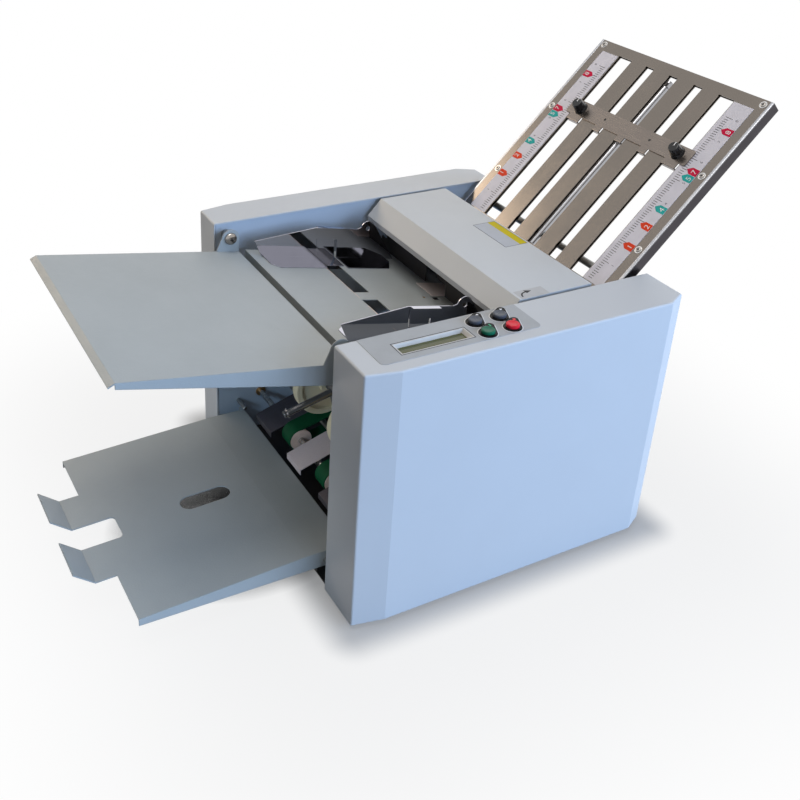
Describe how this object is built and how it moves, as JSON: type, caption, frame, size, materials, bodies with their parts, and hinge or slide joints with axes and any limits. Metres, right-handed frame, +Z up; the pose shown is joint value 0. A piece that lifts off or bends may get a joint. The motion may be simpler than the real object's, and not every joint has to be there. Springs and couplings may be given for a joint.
{
  "type": "paper folding machine",
  "caption": "Desk-top friction-feed paper folder: sloping feed table with side guides, fold rollers, two slotted fold plates with sliding stops and a belt delivery with trays.",
  "frame": {"origin": "centre of the bounding box in plan, on the surface that the feet stand on", "axes": "+Z up, +X from the feed and delivery trays towards the rear fold plate, +Y away from the operator, whose control panel is on the -Y cover"},
  "size_m": [0.8996, 0.478, 0.546],
  "materials": {
    "cover_paint": "smooth semi-gloss light grey",
    "frame_paint": "smooth light blue-grey",
    "tray_paint": "fine-textured grey powder coat",
    "black_steel": "satin black",
    "black_rubber": "matte",
    "plain_steel": "ground",
    "stainless": "brushed along the plate",
    "mirror_steel": "polished",
    "chrome": "polished",
    "zinc": "zinc plated",
    "panel_film": "printed polyester film",
    "frame_plastic": "moulded",
    "display_glass": "olive liquid crystal window",
    "black_gloss": "glossy black",
    "black_plastic": "moulded",
    "board": "solder resist",
    "button_grey": "dark blue-grey",
    "button_green": "green",
    "button_red": "red",
    "roller_rubber": "ground soft rubber on steel",
    "feed_rubber": "grooved soft rubber",
    "pad_rubber": "pinkish retard pad",
    "gear_plastic": "natural acetal",
    "belt_green": "green flat belt",
    "belt_black": "toothed belt",
    "roller_plastic": "pale pinkish moulding",
    "cream_rubber": "cream",
    "carriage_plastic": "dark grey moulding",
    "bronze": "sintered bronze",
    "scale_film": "printed film",
    "motor_body": "black enamel"
  },
  "bodies": {
    "machine": {"base_plate": "black_steel", "rubber_feet": "black_rubber", "near_side_frame": "frame_paint", "far_side_frame": "frame_paint", "tie_rods": "zinc", "near_cover": "cover_paint", "far_cover": "cover_paint", "feed_table": "tray_paint", "friction_pad": "pad_rubber", "spacer_posts": "zinc", "inner_paper_plates": "black_steel", "pan_head_screws": "zinc", "hinge_pins": "zinc", "control_panel": "panel_film", "display_frame": "frame_plastic", "display_module": "display_glass", "button_bezels": "black_gloss", "control_board": "board", "fold_plate_sheets": "stainless", "fold_plate_rails": "stainless", "fold_plate_scales": "scale_film", "guide_rods": "chrome", "lower_fold_plate": "stainless", "shaft_bushes": "bronze", "delivery_guides": "stainless", "delivery_belts": "belt_green", "drive_motor": "motor_body", "drive_belts": "belt_black", "power_inlet": "black_plastic"},
    "feed_tray": {"feed_tray": "tray_paint"},
    "delivery_tray": {"delivery_tray": "tray_paint"},
    "near_guide": {"near_guide": "mirror_steel"},
    "far_guide": {"far_guide": "mirror_steel"},
    "top_cover": {"top_cover": "cover_paint"},
    "feed_roller": {"feed_shaft": "plain_steel", "feed_wheel": "feed_rubber"},
    "roller_one": {"fold_roller_one": "roller_rubber", "roller_gear_one": "gear_plastic"},
    "roller_two": {"fold_roller_two": "roller_rubber", "roller_gear_two": "gear_plastic", "main_pulley": "gear_plastic"},
    "roller_three": {"fold_roller_three": "roller_rubber", "roller_gear_three": "gear_plastic"},
    "roller_four": {"fold_roller_four": "roller_rubber", "roller_gear_four": "gear_plastic"},
    "motor_rotor": {"motor_pulley": "plain_steel"},
    "delivery_front": {"delivery_roller_front": "roller_plastic"},
    "delivery_rear": {"delivery_roller_rear": "roller_plastic"},
    "stacker_carriage": {"stacker_carriage": "carriage_plastic"},
    "stacker_wheels": {"stacker_wheels": "cream_rubber"},
    "button_back": {"button_back": "button_grey"},
    "button_forward": {"button_forward": "button_grey"},
    "button_start": {"button_start": "button_green"},
    "button_stop": {"button_stop": "button_red"},
    "switch_rocker": {"switch_rocker": "black_plastic"},
    "fold_stop": {"fold_stop_bar": "stainless"},
    "far_knob": {"stop_knob_far": "black_plastic"},
    "near_knob": {"stop_knob_near": "black_plastic"},
    "lower_stop": {"lower_stop_bar": "stainless"},
    "lower_knob": {"lower_stop_knob": "black_plastic"}
  },
  "joints": [
    {"name": "feed_tray_hinge", "type": "hinge", "parent": "machine", "child": "feed_tray", "pos_m": [-0.15835, 0.0085, 0.3294], "axis": [0, 1, 0], "range_deg": [0, 100]},
    {"name": "delivery_tray_hinge", "type": "hinge", "parent": "machine", "child": "delivery_tray", "pos_m": [-0.16885, 0.0085, 0.041], "axis": [0, 1, 0], "range_deg": [0, 55]},
    {"name": "top_cover_hinge", "type": "hinge", "parent": "machine", "child": "top_cover", "pos_m": [0.17315, 0.0085, 0.336], "axis": [0, 1, 0], "range_deg": [0, 95]},
    {"name": "near_guide_slide", "type": "slide", "parent": "machine", "child": "near_guide", "axis": [0, 1, 0], "range_m": [-0.04, 0.07]},
    {"name": "far_guide_slide", "type": "slide", "parent": "machine", "child": "far_guide", "axis": [0, 1, 0], "range_m": [-0.072, 0.02]},
    {"name": "roller_two_spin", "type": "hinge", "parent": "machine", "child": "roller_two", "pos_m": [0.16228, 0.0085, 0.2479], "axis": [0, 1, 0], "continuous": true},
    {"name": "roller_one_spin", "type": "hinge", "parent": "machine", "child": "roller_one", "pos_m": [0.15202, 0.0085, 0.27609], "axis": [0, 1, 0], "continuous": true},
    {"name": "roller_three_spin", "type": "hinge", "parent": "machine", "child": "roller_three", "pos_m": [0.19047, 0.0085, 0.25816], "axis": [0, 1, 0], "continuous": true},
    {"name": "roller_four_spin", "type": "hinge", "parent": "machine", "child": "roller_four", "pos_m": [0.17254, 0.0085, 0.21971], "axis": [0, 1, 0], "continuous": true},
    {"name": "feed_roller_spin", "type": "hinge", "parent": "machine", "child": "feed_roller", "pos_m": [0.11714, 0.0085, 0.28025], "axis": [0, 1, 0], "continuous": true},
    {"name": "delivery_front_spin", "type": "hinge", "parent": "machine", "child": "delivery_front", "pos_m": [-0.10695, 0.0085, 0.0696], "axis": [0, 1, 0], "continuous": true},
    {"name": "delivery_rear_spin", "type": "hinge", "parent": "machine", "child": "delivery_rear", "pos_m": [0.12515, 0.0085, 0.12747], "axis": [0, 1, 0], "continuous": true},
    {"name": "motor_spin", "type": "hinge", "parent": "machine", "child": "motor_rotor", "pos_m": [0.07515, 0.0085, 0.054], "axis": [0, 1, 0], "continuous": true},
    {"name": "stacker_slide", "type": "slide", "parent": "machine", "child": "stacker_carriage", "axis": [0.9703, 0, 0.2419], "range_m": [-0.03, 0.055]},
    {"name": "stacker_wheel_spin", "type": "hinge", "parent": "stacker_carriage", "child": "stacker_wheels", "pos_m": [-0.06735, 0.0085, 0.14296], "axis": [0, 1, 0], "continuous": true},
    {"name": "button_back_push", "type": "slide", "parent": "machine", "child": "button_back", "axis": [0, 0, -1], "range_m": [0, 0.002], "stiffness_N_per_m": 700, "springref_m": -0.001},
    {"name": "button_forward_push", "type": "slide", "parent": "machine", "child": "button_forward", "axis": [0, 0, -1], "range_m": [0, 0.002], "stiffness_N_per_m": 700, "springref_m": -0.001},
    {"name": "button_start_push", "type": "slide", "parent": "machine", "child": "button_start", "axis": [0, 0, -1], "range_m": [0, 0.002], "stiffness_N_per_m": 700, "springref_m": -0.001},
    {"name": "button_stop_push", "type": "slide", "parent": "machine", "child": "button_stop", "axis": [0, 0, -1], "range_m": [0, 0.002], "stiffness_N_per_m": 700, "springref_m": -0.001},
    {"name": "power_rocker", "type": "hinge", "parent": "machine", "child": "switch_rocker", "pos_m": [0.26815, -0.1945, 0.091], "axis": [0, 0, 1], "range_deg": [-20, 0]},
    {"name": "fold_stop_slide", "type": "slide", "parent": "machine", "child": "fold_stop", "axis": [0.7071, 0, 0.7071], "range_m": [-0.165, 0.08]},
    {"name": "far_knob_turn", "type": "hinge", "parent": "fold_stop", "child": "far_knob", "pos_m": [0.3516, 0.107, 0.47359], "axis": [-0.7071, 0, 0.7071], "range_deg": [0, 180]},
    {"name": "near_knob_turn", "type": "hinge", "parent": "fold_stop", "child": "near_knob", "pos_m": [0.3516, -0.09, 0.47359], "axis": [-0.7071, 0, 0.7071], "range_deg": [0, 180]},
    {"name": "lower_stop_slide", "type": "slide", "parent": "machine", "child": "lower_stop", "axis": [-0.342, 0, 0.9397], "range_m": [-0.048, 0.055]},
    {"name": "lower_knob_turn", "type": "hinge", "parent": "lower_stop", "child": "lower_knob", "pos_m": [0.23211, 0.0085, 0.13498], "axis": [0.9397, 0, 0.342], "range_deg": [0, 180]}
  ],
  "couplings": [
    {"joint": "roller_one_spin", "follows": "roller_two_spin", "ratio": -1},
    {"joint": "roller_three_spin", "follows": "roller_two_spin", "ratio": -1},
    {"joint": "roller_four_spin", "follows": "roller_two_spin", "ratio": -1},
    {"joint": "feed_roller_spin", "follows": "roller_two_spin", "ratio": -1},
    {"joint": "delivery_front_spin", "follows": "roller_two_spin", "ratio": -1},
    {"joint": "delivery_rear_spin", "follows": "roller_two_spin", "ratio": -1},
    {"joint": "motor_spin", "follows": "roller_two_spin", "ratio": 2}
  ]
}
